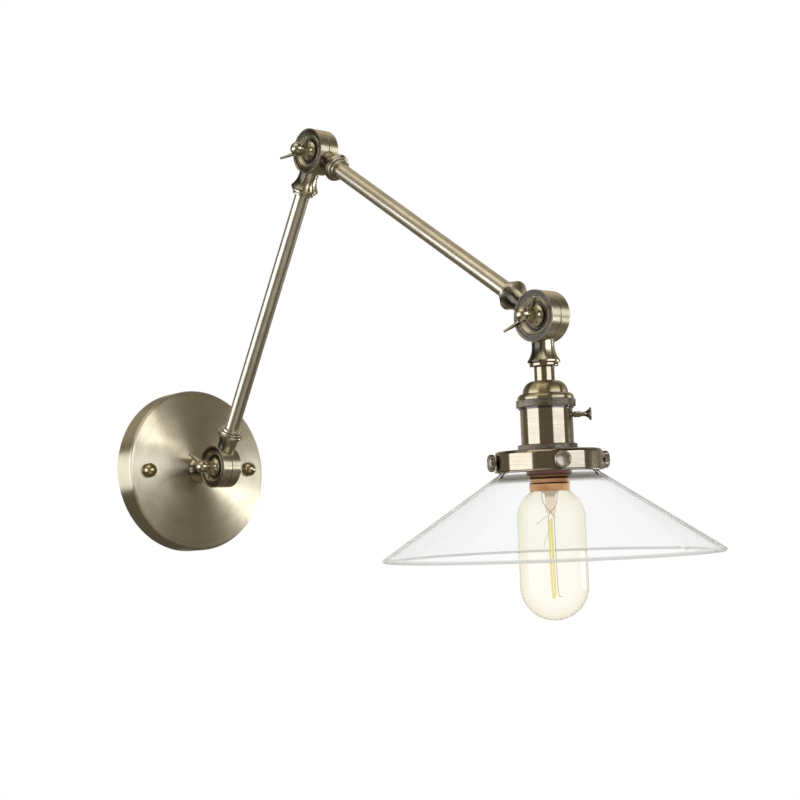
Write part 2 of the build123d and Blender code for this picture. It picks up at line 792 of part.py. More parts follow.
# Switch body under the cap, with a cross bore for the shaft
switch_bottom = core_top
with BuildPart() as switch_body:
    with BuildSketch(Plane(origin=head_at(switch_top), z_dir=head_axis)):
        Circle(switch_radius)
    extrude(amount=switch_bottom - switch_top)
    chamfer(edges().filter_by(GeomType.CIRCLE), length=switch_edge)
    with BuildSketch(Plane(origin=head_at(knob_at) + head_direction(knob_turn) * switch_radius / 2,
                           z_dir=head_direction(knob_turn))):
        Circle(knob_shaft_radius + turning_fit)
    extrude(amount=switch_radius, mode=Mode.SUBTRACT)
keep(switch_body, "switch_body")

# Turn knob: stepped shaft that flares into a thin disc
knob_sleeve_end = shell_radius + knob_sleeve_length
knob_waist_end = knob_sleeve_end + knob_waist_length
knob_disc_start = knob_reach - knob_disc_height
with BuildPart() as switch_knob:
    with BuildSketch(turning_plane(head_at(knob_at), head_direction(knob_turn))):
        with BuildLine():
            shaft = Polyline(
                (0, switch_radius / 2 + loose_fit),
                (knob_shaft_radius, switch_radius / 2 + loose_fit),
                (knob_shaft_radius, shell_radius + loose_fit),
                (knob_sleeve_radius, shell_radius + loose_fit),
                (knob_sleeve_radius, knob_sleeve_end),
                (knob_waist_radius, knob_sleeve_end),
                (knob_waist_radius, knob_waist_end),
            )
            flare = TangentArc(
                shaft @ 1, (knob_disc_radius - 0.3, knob_disc_start), tangent=(0, 1)
            )
            rim = ThreePointArc(
                flare @ 1,
                (knob_disc_radius, knob_disc_start + knob_disc_height / 2),
                (knob_disc_radius - 0.5, knob_reach - 0.3),
            )
            face_line = Line(rim @ 1, (0, knob_reach))
            Line(face_line @ 1, shaft @ 0)
        make_face()
    revolve(axis=Axis(head_at(knob_at), head_direction(knob_turn)))
keep(switch_knob, "switch_knob")

# Porcelain core: wide head that rests in the shell, narrower foot inside the barrel
core_radius = shell_radius - sheet_wall - loose_fit
core_shoulder = shade_ring_at - 2 * barrel_flange_height
barrel_bore = barrel_radius - barrel_wall
with BuildPart() as socket_core:
    with BuildSketch(turning_plane(head_hinge, head_axis)):
        with BuildLine():
            Polyline(
                (0, core_top),
                (core_radius, core_top),
                (core_radius, core_shoulder),
                (barrel_bore - pressed_fit, core_shoulder),
                (barrel_bore - pressed_fit, core_floor),
                (0, core_floor),
                close=True,
            )
        make_face()
    revolve(axis=Axis(head_hinge, head_axis))
keep(socket_core, "socket_core")

# Threaded barrel below the shell, hung from a flange under the core's head
keep(turned(
    [(barrel_bore, core_shoulder), (core_radius, core_shoulder),
     (core_radius, core_shoulder + barrel_flange_height),
     (barrel_radius, core_shoulder + barrel_flange_height),
     (barrel_radius, barrel_bottom), (barrel_bore, barrel_bottom)],
    [0, 0, 0, 0, 0.2, 0.2], head_hinge, head_axis), "socket_barrel")

# Threaded contact sleeve lining the barrel
with BuildPart() as screw_shell:
    with BuildSketch(Plane(origin=head_at(core_floor), z_dir=head_axis)):
        Circle(barrel_bore - pressed_fit)
        Circle(barrel_bore - pressed_fit - screw_shell_wall, mode=Mode.SUBTRACT)
    extrude(amount=barrel_bottom - core_floor - 1)
keep(screw_shell, "screw_shell")

# Centre contact: a bent strip that springs against the bulb
cap_start = bulb_cap_bottom - bulb_cap_length
half_foot = contact_foot / 2
half_top = contact_top_width / 2
contact_height = cap_start - core_floor - loose_fit
with BuildPart() as centre_contact:
    with BuildSketch(Plane(origin=head_at(core_floor), x_dir=head_front, z_dir=hinge_axis)):
        with BuildLine():
            Polyline(
                (-half_foot, 0),
                (half_foot, 0),
                (half_foot, contact_sheet),
                (half_top + contact_lean, contact_sheet),
                (half_top, contact_height),
                (-half_top, contact_height),
                (-half_top, contact_height - contact_sheet),
                (half_top - contact_sheet, contact_height - contact_sheet),
                (half_top + contact_lean - contact_sheet, contact_sheet),
                (-half_foot, contact_sheet),
                close=True,
            )
        make_face()
    extrude(amount=contact_width / 2, both=True)
keep(centre_contact, "centre_contact")

# Two rings on the barrel pinch the shade holder between them
holder_top = shade_ring_at + shade_ring_height
holder_wall = plate_wall
thread_bore = barrel_radius + pressed_fit
keep(turned(
    [(thread_bore, shade_ring_at), (shade_ring_radius, shade_ring_at),
     (shade_ring_radius, holder_top), (thread_bore, holder_top)],
    [0, 0.4, 0.3, 0], head_hinge, head_axis), "shade_ring")
inner_ring_top = holder_top + holder_wall
keep(turned(
    [(thread_bore, inner_ring_top), (shade_ring_radius, inner_ring_top),
     (shade_ring_radius, inner_ring_top + shade_ring_height),
     (thread_bore, inner_ring_top + shade_ring_height)],
    [0, 0.3, 0.4, 0], head_hinge, head_axis), "inner_shade_ring")

# Shade holder: drawn brass cup with a rolled edge and tapped holes round its wall
holder_cup = turned(
    [(thread_bore, holder_top), (holder_radius, holder_top),
     (holder_radius, holder_bottom - 2 * holder_bead),
     (holder_radius + holder_bead, holder_bottom - holder_bead),
     (holder_radius + holder_bead, holder_bottom),
     (holder_radius - holder_wall, holder_bottom),
     (holder_radius - holder_wall, holder_top + holder_wall),
     (thread_bore, holder_top + holder_wall)],
    [0, holder_corner, 0.2, 0.3, 0.3, 0.3, holder_corner - holder_wall, 0],
    head_hinge, head_axis,
)
screw_turns = [thumb_screw_turn + 360 / thumb_screw_count * n for n in range(thumb_screw_count)]
with BuildPart() as shade_holder:
    add(holder_cup.part)
    for turn in screw_turns:
        with BuildSketch(Plane(origin=head_at(thumb_screw_at), z_dir=head_direction(turn))):
            Circle(thumb_shank_radius + turning_fit)
        extrude(amount=holder_radius + 1, mode=Mode.SUBTRACT)
keep(shade_holder, "shade_holder")

# Thumb screws: knurled heads outside the holder, tips under the shade's bead
head_start = holder_radius + thumb_head_gap
head_end = head_start + thumb_head_height
tip_start = shade_neck_radius + loose_fit
for number, turn in enumerate(screw_turns, start=1):
    keep(turned(
        [(0, tip_start), (thumb_shank_radius, tip_start), (thumb_shank_radius, head_start),
         (thumb_head_radius, head_start), (thumb_head_radius, head_end - thumb_head_slant),
         (thumb_head_radius - thumb_head_slant, head_end), (0, head_end)],
        [0, 0.2, 0.3, 0.4, 0.3, 0.8, 0],
        head_at(thumb_screw_at), head_direction(turn)), f"thumb_screw_{number}")

# Glass shade: short beaded neck inside the holder, opening into a shallow cone
slope = tan(radians(shade_slope))
wall_across = shade_wall / cos(radians(shade_slope))
bead_bottom = thumb_screw_at - thumb_shank_radius - loose_fit
lip_top = holder_top + holder_wall
shade_rim_at = shade_shoulder_at + (shade_radius - shade_neck_radius) * slope
inner_neck_radius = shade_neck_radius - shade_wall
inner_shoulder_at = shade_shoulder_at + wall_across - shade_wall * slope
glass_shade = turned(
    [(shade_neck_radius, shade_shoulder_at), (shade_neck_radius, bead_bottom),
     (shade_neck_radius + shade_bead, bead_bottom),
     (shade_neck_radius + shade_bead, lip_top),
     (inner_neck_radius, lip_top),
     (inner_neck_radius, inner_shoulder_at),
     (shade_radius - shade_wall * sin(radians(shade_slope)),
      shade_rim_at + shade_wall * cos(radians(shade_slope))),
     (shade_radius, shade_rim_at)],
    [shade_bend, 0.3, 0.6, 0.9, 0.9, shade_bend + shade_wall, 0.9, 0.9],
    head_hinge, head_axis,
)
keep(glass_shade, "glass_shade")

# Bulb glass: straight tube with a rounded shoulder and a half-ball end
ball_centre = bulb_bottom - bulb_radius
neck_end = bulb_cap_bottom - bulb_neck_length


def bulb_profile(inset):
    """Outline of the bulb from its neck to its lowest point, moved inwards."""
    radius = bulb_radius - inset
    neck = Line((bulb_neck_radius - inset, neck_end), (bulb_neck_radius - inset, bulb_cap_bottom))
    flare = ThreePointArc(
        neck @ 1,
        (bulb_shoulder_radius - inset, bulb_cap_bottom + bulb_flare + inset / 2),
        (radius, bulb_shoulder_at),
    )
    side = Line(flare @ 1, (radius, ball_centre))
    end = CenterArc((0, ball_centre), radius, 0, 90)
    return neck @ 0, end @ 1


with BuildPart() as bulb_glass:
    with BuildSketch(turning_plane(head_hinge, head_axis)):
        with BuildLine():
            outer_start, outer_end = bulb_profile(0)
            inner_start, inner_end = bulb_profile(bulb_wall)
            Line(outer_start, inner_start)
            Line(outer_end, inner_end)
        make_face()
    revolve(axis=Axis(head_hinge, head_axis))
keep(bulb_glass, "bulb_glass")

# Bulb cap: thin brass sleeve with rolled thread ridges and a coned top
thread_top = bulb_thread_bottom - bulb_thread_turns * bulb_thread_pitch
root_radius = bulb_cap_radius - bulb_thread_depth + bulb_cap_wall
with BuildPart() as bulb_cap:
    with BuildSketch(turning_plane(head_hinge, head_axis)):
        with BuildLine():
            points = [(bulb_neck_radius + pressed_fit, bulb_cap_bottom)]
            points.append((bulb_neck_radius + pressed_fit, thread_top + 2 * bulb_thread_run))
            points.append((bulb_cap_crown - bulb_cap_wall, cap_start + bulb_contact_height))
            points.append((bulb_cap_crown, cap_start + bulb_contact_height))
            points.append((root_radius, thread_top))
            for ridge in range(bulb_thread_turns):
                at = thread_top + ridge * bulb_thread_pitch
                points.append((root_radius, at + bulb_thread_pitch * 0.2))
                points.append((bulb_cap_radius, at + bulb_thread_pitch * 0.5))
                points.append((root_radius, at + bulb_thread_pitch * 0.8))
            points.append((root_radius, bulb_thread_bottom + bulb_thread_run))
            points.append((bulb_cap_radius, bulb_thread_bottom + 3 * bulb_thread_run))
            points.append((bulb_cap_radius, bulb_cap_bottom))
            Polyline(*points, close=True)
        make_face()
    revolve(axis=Axis(head_hinge, head_axis))
keep(bulb_cap, "bulb_cap")

# Black glass insulator with the solder contact in its middle
insulator_top = cap_start + bulb_contact_height
insulator_radius = bulb_cap_crown - bulb_cap_wall - pressed_fit
insulator_bottom = insulator_top + insulator_height
keep(turned(
    [(0, insulator_top), (insulator_radius, insulator_top),
     (insulator_radius, insulator_bottom), (0, insulator_bottom)],
    [0, 0, 0, 0], head_hinge, head_axis), "bulb_insulator")
keep(turned(
    [(0, cap_start), (bulb_contact_radius - bulb_contact_height, cap_start),
     (bulb_contact_radius, insulator_top), (0, insulator_top)],
    [0, 0.6, 0, 0], head_hinge, head_axis), "bulb_contact")

# Glass stem: flared foot sealed to the neck, tube and pinch
stem_foot = neck_end
neck_inside = bulb_neck_radius - bulb_wall
keep(turned(
    [(0, stem_foot), (neck_inside - pressed_fit, stem_foot),
     (neck_inside - pressed_fit, stem_foot + stem_foot_height),
     (stem_tube_radius, stem_foot + stem_flare_height),
     (stem_tube_radius, stem_pinch_at - stem_pinch_height),
     (stem_tube_radius - stem_pinch_inset, stem_pinch_at), (0, stem_pinch_at)],
    [0, 0, 0, 2, 0.8, 0.8, 0], head_hinge, head_axis), "bulb_stem")

# Support wires: a centre rod with a spoked hub at each end of the filament
strand_turns = [360 / filament_strands * n for n in range(filament_strands)]
with BuildPart() as bulb_supports:
    with BuildSketch(Plane(origin=head_at(stem_pinch_at), z_dir=head_axis)):
        Circle(2 * wire_radius)
    extrude(amount=filament_bottom - stem_pinch_at)
    for level in (filament_top, filament_bottom):
        with BuildSketch(Plane(origin=head_at(level - support_hub_radius), z_dir=head_axis)):
            Circle(support_hub_radius)
        extrude(amount=2 * support_hub_radius)
        for turn in strand_turns:
            spoke_start = head_at(level) + head_direction(turn) * (support_hub_radius - wire_radius)
            with BuildSketch(Plane(origin=spoke_start, z_dir=head_direction(turn))):
                Circle(wire_radius)
            extrude(amount=filament_ring - support_hub_radius + wire_radius)
keep(bulb_supports, "bulb_supports")

# Filament: straight strands between the two sets of spokes
with BuildPart() as bulb_filament:
    for turn in strand_turns:
        start = head_at(filament_top) + head_direction(turn) * (filament_ring + filament_radius)
        with BuildSketch(Plane(origin=start, z_dir=head_axis)):
            Circle(filament_radius)
        extrude(amount=filament_bottom - filament_top)
keep(bulb_filament, "bulb_filament")
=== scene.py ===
import math
import bpy
from mathutils import Matrix, Vector


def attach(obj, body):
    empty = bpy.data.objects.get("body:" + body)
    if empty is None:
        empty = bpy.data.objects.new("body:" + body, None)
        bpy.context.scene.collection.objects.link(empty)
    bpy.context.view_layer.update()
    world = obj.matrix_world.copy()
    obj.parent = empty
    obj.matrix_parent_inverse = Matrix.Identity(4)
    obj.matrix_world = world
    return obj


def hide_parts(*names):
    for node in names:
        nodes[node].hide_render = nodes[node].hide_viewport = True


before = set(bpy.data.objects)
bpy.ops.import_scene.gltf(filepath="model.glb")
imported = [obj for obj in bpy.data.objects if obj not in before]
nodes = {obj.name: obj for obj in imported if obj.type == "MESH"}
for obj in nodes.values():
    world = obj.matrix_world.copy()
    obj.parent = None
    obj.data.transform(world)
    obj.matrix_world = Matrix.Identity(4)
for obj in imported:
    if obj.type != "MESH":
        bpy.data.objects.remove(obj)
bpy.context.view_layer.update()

# Wall plate: a dish spun from brass sheet, bronzed, then brushed on the lathe so that fine
# rings run round its centre. The rings draw light out into two bright fans, as on any
# turned face, and the lacquer over them is thin and even.


def linear(hex_colour):
    """Linear RGBA from an sRGB hex colour."""
    parts = [int(hex_colour[i:i + 2], 16) / 255 for i in (1, 3, 5)]
    return tuple(c / 12.92 if c <= 0.04045 else ((c + 0.055) / 1.055) ** 2.4 for c in parts) + (1,)


def add_node(owner, kind, inputs=None, **settings):
    """Adds a node to a material or the world; an input takes a link or a constant."""
    node = owner.node_tree.nodes.new("ShaderNode" + kind)
    for key, value in settings.items():
        if hasattr(node, key):
            setattr(node, key, value)
        else:
            node.inputs[key.replace("_", " ")].default_value = value
    for socket, value in (inputs or {}).items():
        if isinstance(value, bpy.types.NodeSocket):
            owner.node_tree.links.new(value, node.inputs[socket])
        else:
            node.inputs[socket].default_value = value
    return node


def new_material(name):
    """An empty node material."""
    material = bpy.data.materials.new(name)
    material.use_nodes = True
    material.node_tree.nodes.clear()
    return material


def dress(material, *names):
    """Puts a material on CAD nodes or pieces, in place of what they had."""
    for name in names:
        piece = nodes[name] if isinstance(name, str) else name
        piece.data.materials.clear()
        piece.data.materials.append(material)


def lathe_brass(name, deep, bare, point, axis, rough=0.2, brushed=0.6, ring_mm=0.5, worn_and_glint="#b9a984",
                coat=1.0, painted_dark_face=None, cuts=None, second_axis=None, second_from=0.0,
                second_rough=0.2, edge=0.0002):
    """Bronzed brass with lathe rings round an axis; a second axis takes over further out."""
    material = new_material(name)
    place = add_node(material, "TexCoord").outputs["Object"]
    flat = add_node(material, "NewGeometry").outputs["Normal"]
    from_point = add_node(material, "VectorMath", {0: place, 1: point},
                          operation="SUBTRACT").outputs[0]

    def about(direction):
        """Direction round an axis, distance from it and distance along it."""
        around = add_node(material, "VectorMath", {0: direction, 1: from_point},
                          operation="CROSS_PRODUCT")
        radius = add_node(material, "VectorMath", {0: around.outputs[0]}, operation="LENGTH")
        along = add_node(material, "VectorMath", {0: from_point, 1: direction},
                         operation="DOT_PRODUCT")
        return around.outputs[0], radius.outputs["Value"], along.outputs["Value"]

    around, radius, along = about(axis)
    if second_axis:
        outer = add_node(material, "Math", {0: radius, 1: second_from},
                         operation="GREATER_THAN").outputs[0]
        around, radius, along = [
            add_node(material, "Mix", {"Factor": outer, "A": near, "B": far},
                     data_type=kind).outputs["Result"]
            for near, far, kind in zip((around, radius, along), about(second_axis),
                                       ("VECTOR", "FLOAT", "FLOAT"))]
    tangent = add_node(material, "VectorTransform", {0: around}, vector_type="VECTOR",
                       convert_from="OBJECT", convert_to="WORLD")
    # Lathe rings: noise that runs only across the rings, with a slow drift round them
    across = add_node(material, "CombineXYZ", {"X": radius, "Y": along})
    ring_place = add_node(material, "VectorMath", {0: across.outputs[0]}, operation="SCALE",
                          Scale=1000 / ring_mm)
    drift = add_node(material, "VectorMath", {0: place, 1: (60, 60, 60),
                                              2: ring_place.outputs[0]},
                     operation="MULTIPLY_ADD")
    rings = add_node(material, "TexNoise", {"Vector": drift.outputs[0]}, Scale=1.0,
                     Detail=2.0).outputs["Fac"]
    # Patina: soft blotches about a centimetre wide, with finer specks in them
    patina = add_node(material, "TexNoise", {"Vector": place}, Scale=90.0, Detail=5.0,
                      Roughness=0.6).outputs["Fac"]
    both = add_node(material, "Mix", {"A": rings, "B": patina}, Factor=0.45).outputs["Result"]
    # With cuts, the tone follows the radius: painted shade in the cuts, painted highlight on peaks
    if cuts:
        tone = add_node(material, "MapRange", {"Value": radius}, From_Min=cuts[0],
                        From_Max=cuts[1])
    else:
        tone = add_node(material, "MapRange", {"Value": both}, From_Min=0.3, From_Max=0.7)
    colour = add_node(material, "Mix", {"Factor": tone.outputs[0], "A": linear(deep),
                                        "B": linear(bare)}, data_type="RGBA")
    # Painted shade: faces square to the axis are painted darker than the rest of the bronze
    if painted_dark_face:
        square = add_node(material, "VectorMath", {0: flat, 1: axis}, operation="DOT_PRODUCT")
        square_on = add_node(material, "Math", {0: square.outputs["Value"]}, operation="ABSOLUTE")
        painted_face_shade = add_node(material, "MapRange", {"Value": square_on.outputs[0]}, From_Min=0.6,
                             From_Max=0.9, To_Min=0.0, To_Max=0.95)
        colour = add_node(material, "Mix", {"Factor": painted_face_shade.outputs[0],
                                            "A": colour.outputs["Result"],
                                            "B": linear(painted_dark_face)}, data_type="RGBA")
    # Paler edges, part wear and part painted highlight, where a rounded normal leaves the real one
    soft_edge = add_node(material, "Bevel", Radius=edge, samples=6).outputs[0]
    same = add_node(material, "VectorMath", {0: soft_edge, 1: flat}, operation="DOT_PRODUCT")
    wear_and_glint = add_node(material, "MapRange", {"Value": same.outputs["Value"]}, From_Min=0.97,
                    From_Max=0.75)
    rubbed_and_glint = add_node(material, "Mix", {"Factor": wear_and_glint.outputs[0], "A": colour.outputs["Result"],
                                        "B": linear(worn_and_glint)}, data_type="RGBA")

    def gloss_near(middle):
        """Roughness about a middle value, which drifts with the rings and the patina."""
        return add_node(material, "MapRange", {"Value": both}, From_Min=0.3, From_Max=0.7,
                        To_Min=middle * 1.2, To_Max=middle * 0.85).outputs[0]

    gloss = gloss_near(rough)
    if second_axis:
        gloss = add_node(material, "Mix", {"Factor": outer, "A": gloss,
                                           "B": gloss_near(second_rough)}).outputs["Result"]
    bump = add_node(material, "Bump", {"Height": rings, "Normal": soft_edge}, Strength=0.05,
                    Distance=0.0002)
    metal = add_node(material, "BsdfPrincipled", {
        "Base Color": rubbed_and_glint.outputs["Result"], "Roughness": gloss, "Normal": bump.outputs[0],
        "Tangent": tangent.outputs[0]}, Metallic=1.0, Anisotropic=brushed,
        Anisotropic_Rotation=0.25, Coat_Weight=coat, Coat_Roughness=0.06, Coat_IOR=1.55)
    add_node(material, "OutputMaterial", {"Surface": metal.outputs[0]})
    return material


wall_centre = (0.0, 0.0, 0.0)
away = (0.0, -1.0, 0.0)
dress(lathe_brass("brushed_plate_brass", "#a99c7f", "#c1b597", wall_centre, away, rough=0.34,
                  brushed=1.0, coat=0.25), "wall_plate")

# Domed cap nuts: turned from brass bar, polished all over before bronzing, and screwed by
# hand onto the two studs of the bracket behind the plate.
dress(lathe_brass("polished_nut_brass", "#8d7a52", "#a8935f", wall_centre, away, rough=0.26,
                  brushed=0.2), "cap_nuts")

# Bracket, studs, nipples, nuts and washers behind the plate: cut and threaded mild steel,
# zinc plated, dull grey with a faint blue cast and white blooms.


def mottled(material, low, high, scale, detail):
    """A colour that drifts between two tones, and the noise that it follows."""
    place = add_node(material, "TexCoord").outputs["Object"]
    noise = add_node(material, "TexNoise", {"Vector": place}, Scale=scale,
                     Detail=detail).outputs["Fac"]
    tint = add_node(material, "Mix", {"Factor": noise, "A": linear(low), "B": linear(high)},
                    data_type="RGBA")
    return tint.outputs["Result"], noise


zinc = new_material("zinc_plated_steel")
tint, bloom = mottled(zinc, "#9c9d9c", "#c3c4c0", scale=260.0, detail=4.0)
pitting = add_node(zinc, "Bump", {"Height": bloom}, Strength=0.15, Distance=0.0003)
steel = add_node(zinc, "BsdfPrincipled", {"Base Color": tint, "Normal": pitting.outputs[0]},
                 Metallic=1.0, Roughness=0.42)
add_node(zinc, "OutputMaterial", {"Surface": steel.outputs[0]})
dress(zinc, "mounting_bracket", "bracket_studs", "block_screw", "plate_nipple", "plate_washer",
      "plate_lock_nut", "head_nipple", "cap_lock_nut")

# Knuckles: pairs of brass castings, turned on their faces and rims and polished on the necks,
# bronzed, then rubbed back. Edges are painted paler, part rubbed metal and part painted
# highlight, and the end faces are painted dark as painted shade.
wall_hinge = (0.0, -0.0495, 0.0)
hinge_line = (1.0, 0.0, 0.0)
arm_length = 0.27
head_rise = -92.4
neck_start = 0.0172


def rising(angle):
    """Direction reaching away from the wall at an angle above level, in degrees."""
    return (0.0, -math.cos(math.radians(angle)), math.sin(math.radians(angle)))


def point_along(start, direction, distance):
    """Point at a distance from a start in a direction."""
    return tuple(s + d * distance for s, d in zip(start, direction))


arm_1_axis = rising(57.5)
arm_2_axis = rising(-37.2)
head_axis = rising(head_rise)
elbow_hinge = point_along(wall_hinge, arm_1_axis, arm_length)
head_hinge = point_along(elbow_hinge, arm_2_axis, arm_length)
for joint, hinge, necks in (
    ("wall", wall_hinge, {"wall_knuckle": away, "arm_1_lower_knuckle": arm_1_axis}),
    ("elbow", elbow_hinge, {"arm_1_upper_knuckle": arm_1_axis,
                            "arm_2_upper_knuckle": arm_2_axis}),
    ("head", head_hinge, {"arm_2_lower_knuckle": arm_2_axis, "head_knuckle": head_axis}),
):
    for name, neck in necks.items():
        dress(lathe_brass(f"{name}_brass", "#ab9f80", "#c4b998", hinge, hinge_line, rough=0.38,
                          brushed=0.95, coat=0.15, painted_dark_face="#2e2820", worn_and_glint="#e6dcc0",
                          second_axis=neck, second_from=neck_start, edge=0.0005), name)
    dress(lathe_brass(f"{joint}_wing_brass", "#8d8060", "#a69876", hinge, hinge_line, rough=0.24,
                      brushed=0.2), f"{joint}_wing_nut", f"{joint}_knuckle_bolt",
          f"{joint}_knuckle_washer")

# Arms: drawn brass tube, bronzed, with a turned collar pressed on at both ends. A drawn tube
# has no fine lathe rings, so only wide, soft ones cross it.
for arm, hinge, axis in (("arm_1", wall_hinge, arm_1_axis), ("arm_2", elbow_hinge, arm_2_axis)):
    dress(lathe_brass(f"{arm}_drawn_brass", "#a0967c", "#b7ad94", hinge, axis, rough=0.3,
                      brushed=0.6, ring_mm=6.0, coat=0.4),
          f"{arm}_tube", f"{arm}_lower_collar", f"{arm}_upper_collar")

# Lampholder: spun brass cap, shell and shade holder on one axis below the head knuckle, with
# a turned collar and sleeve. The cap is left brushed; the rest is polished until it mirrors.
dress(lathe_brass("brushed_cap_brass", "#80734f", "#9a8c64", head_hinge, head_axis, rough=0.3,
                  brushed=0.95, coat=0.5), "socket_cap")
dress(lathe_brass("polished_shell_brass", "#73664c", "#86785b", head_hinge, head_axis,
                  rough=0.13, brushed=0.6), "head_collar", "head_sleeve", "socket_shell",
      "inner_shade_ring", "shade_holder", "switch_knob")

# Knurled rings: the coupling ring under the cap and the clamp ring above the shade holder,
# turned from brass bar. Two cutting wheels press a mesh of small diamonds round each rim.
# The cuts are painted dark and the peaks pale, part bronze left in the cuts and part painted
# shade and painted highlight.
head_front = rising(head_rise + 90)
head_frame = Matrix((head_front, (-1.0, 0.0, 0.0), head_axis)).transposed().to_4x4()
head_frame.translation = head_hinge
diamonds_round = 88
knurl_peak = 0.0193
knurl_valley = 0.0187
slack = 0.00001
merge_gap = 0.000001


def select_points(piece, wanted):
    """Selects just those points of a piece that pass a test, ready for edit mode."""
    bpy.ops.mesh.select_all(action="DESELECT")
    bpy.ops.object.mode_set(mode="OBJECT")
    for point in piece.data.vertices:
        point.select = wanted(point.co)
    bpy.ops.object.mode_set(mode="EDIT")


def pull(radius, new_radius, rise):
    """Pulls a new band out of the selected ring, up or down its axis and to a new radius."""
    bpy.ops.mesh.extrude_region_move(TRANSFORM_OT_translate={"value": (0, 0, rise)})
    scale = new_radius / radius
    bpy.ops.transform.resize(value=(scale, scale, 1), center_override=(0, 0, 0))


def settle(piece, name, frame_here, material, crease=20):
    """Closes a piece, shades it, puts it in place and gives it its name and material."""
    bpy.ops.mesh.select_all(action="SELECT")
    bpy.ops.mesh.remove_doubles(threshold=merge_gap)
    bpy.ops.mesh.normals_make_consistent(inside=False)
    bpy.ops.object.mode_set(mode="OBJECT")
    bpy.ops.object.shade_smooth_by_angle(angle=math.radians(crease))
    piece.data.transform(frame_here)
    piece.name = name
    piece.data.materials.append(material)
    piece.select_set(False)


def knurled_ring(name, top, corners, below, bore, rows, material):
    """A ring with diamonds between its two corners, then the steps below, then its bore."""
    first = top + corners[0]
    last = below[0][1] - corners[1]
    row_height = (last - first) / rows
    bpy.ops.mesh.primitive_circle_add(vertices=2 * diamonds_round, radius=knurl_valley,
                                      location=(0, 0, first))
    ring = bpy.context.object
    ring.data.transform(Matrix.Translation((0, 0, first)))
    ring.location = (0, 0, 0)
    bpy.ops.object.mode_set(mode="EDIT")
    for _ in range(rows):
        pull(1, 1, row_height)
    radius, height = knurl_valley, last
    for next_radius, next_height in [(knurl_valley - corners[1], below[0][1])] + below + [
            (bore, below[-1][1])]:
        if (next_radius, next_height) != (radius, height):
            pull(radius, next_radius, next_height - height)
        radius, height = next_radius, next_height
    select_points(ring, lambda co: abs(co.z - first) < slack)
    pull(knurl_valley, knurl_valley - corners[0], -corners[0])
    pull(knurl_valley - corners[0], bore, 0)
    select_points(ring, lambda co: abs(co.xy.length - bore) < slack)
    bpy.ops.mesh.bridge_edge_loops()
    column = math.tau / (2 * diamonds_round)

    def peak(co):
        in_band = first - slack < co.z < last + slack and co.xy.length > knurl_valley - slack
        steps = round(math.atan2(co.y, co.x) / column) + round((co.z - first) / row_height)
        return in_band and steps % 2 == 0

    select_points(ring, peak)
    swell = knurl_peak / knurl_valley
    bpy.ops.transform.resize(value=(swell, swell, 1), center_override=(0, 0, 0))
    bpy.ops.mesh.select_all(action="SELECT")
    bpy.ops.mesh.quads_convert_to_tris(quad_method="SHORTEST_DIAGONAL")
    settle(ring, name + "_diamonds", head_frame, material, crease=12)
    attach(ring, "head")
    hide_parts(name)


bpy.ops.object.select_all(action="DESELECT")
knurl_brass = lathe_brass("knurled_ring_brass", "#3a332c", "#b3a894", head_hinge, head_axis,
                          rough=0.24, brushed=0.0, worn_and_glint="#a89c86", coat=0.6,
                          cuts=(knurl_valley, knurl_peak))
knurled_ring("knurled_ring", top=0.0544, corners=(0.0004, 0.0004),
             below=[(0.0179, 0.0594), (0.0179, 0.0606)], bore=0.01701, rows=6,
             material=knurl_brass)
knurled_ring("shade_ring", top=0.0832, corners=(0.0004, 0.0003), below=[(0.0184, 0.0870)],
             bore=0.01481, rows=4, material=knurl_brass)

# Thumb screws: four brass screws that grip the shade's bead, each with a fluted head whose
# front is turned smooth and slightly hollow, so its rim catches the light.
flutes_round = 40
screws_round = 4
first_screw_turn = 35
screw_depth = 0.0942
shank_radius = 0.0015
screw_head_radius = 0.0056
flute_depth = 0.0003
# Radius and distance from the lampholder's axis, from the tip out to the hollow face
screw_levels = [(shank_radius, 0.0306), (shank_radius, 0.036), (0.0053, 0.036),
                (screw_head_radius, 0.0363), (screw_head_radius, 0.0385), (0.005, 0.0392),
                (0.0046, 0.0395), (0.0043, 0.0395), (0.0040, 0.0393), (shank_radius, 0.0392)]
screw_brass = lathe_brass("thumb_screw_brass", "#6a5e4a", "#7d7059", head_hinge, head_axis,
                          rough=0.18, brushed=0.0, worn_and_glint="#d2c7a6")
for number in range(1, screws_round + 1):
    turn = math.radians(first_screw_turn + 360 / screws_round * (number - 1))
    bpy.ops.mesh.primitive_circle_add(vertices=2 * flutes_round, radius=screw_levels[0][0],
                                      fill_type="NGON")
    screw = bpy.context.object
    screw.data.transform(Matrix.Translation((0, 0, screw_levels[0][1])))
    bpy.ops.object.mode_set(mode="EDIT")
    bpy.ops.mesh.select_all(action="SELECT")
    for (radius, height), (next_radius, next_height) in zip(screw_levels, screw_levels[1:]):
        pull(radius, next_radius, next_height - height)
    select_points(screw, lambda co: co.xy.length > screw_head_radius - slack
                  and round(math.atan2(co.y, co.x) / math.tau * 2 * flutes_round) % 2 == 1)
    dip = 1 - flute_depth / screw_head_radius
    bpy.ops.transform.resize(value=(dip, dip, 1), center_override=(0, 0, 0))
    outward = Vector((math.cos(turn), math.sin(turn), 0))
    screw_frame = Matrix((Vector((0, 0, 1)).cross(outward), (0, 0, 1), outward)).transposed()
    screw_frame = screw_frame.to_4x4()
    screw_frame.translation = (0, 0, screw_depth)
    settle(screw, f"fluted_thumb_screw_{number}", head_frame @ screw_frame, screw_brass)
    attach(screw, f"thumb_screw_{number}")
    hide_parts(f"thumb_screw_{number}")

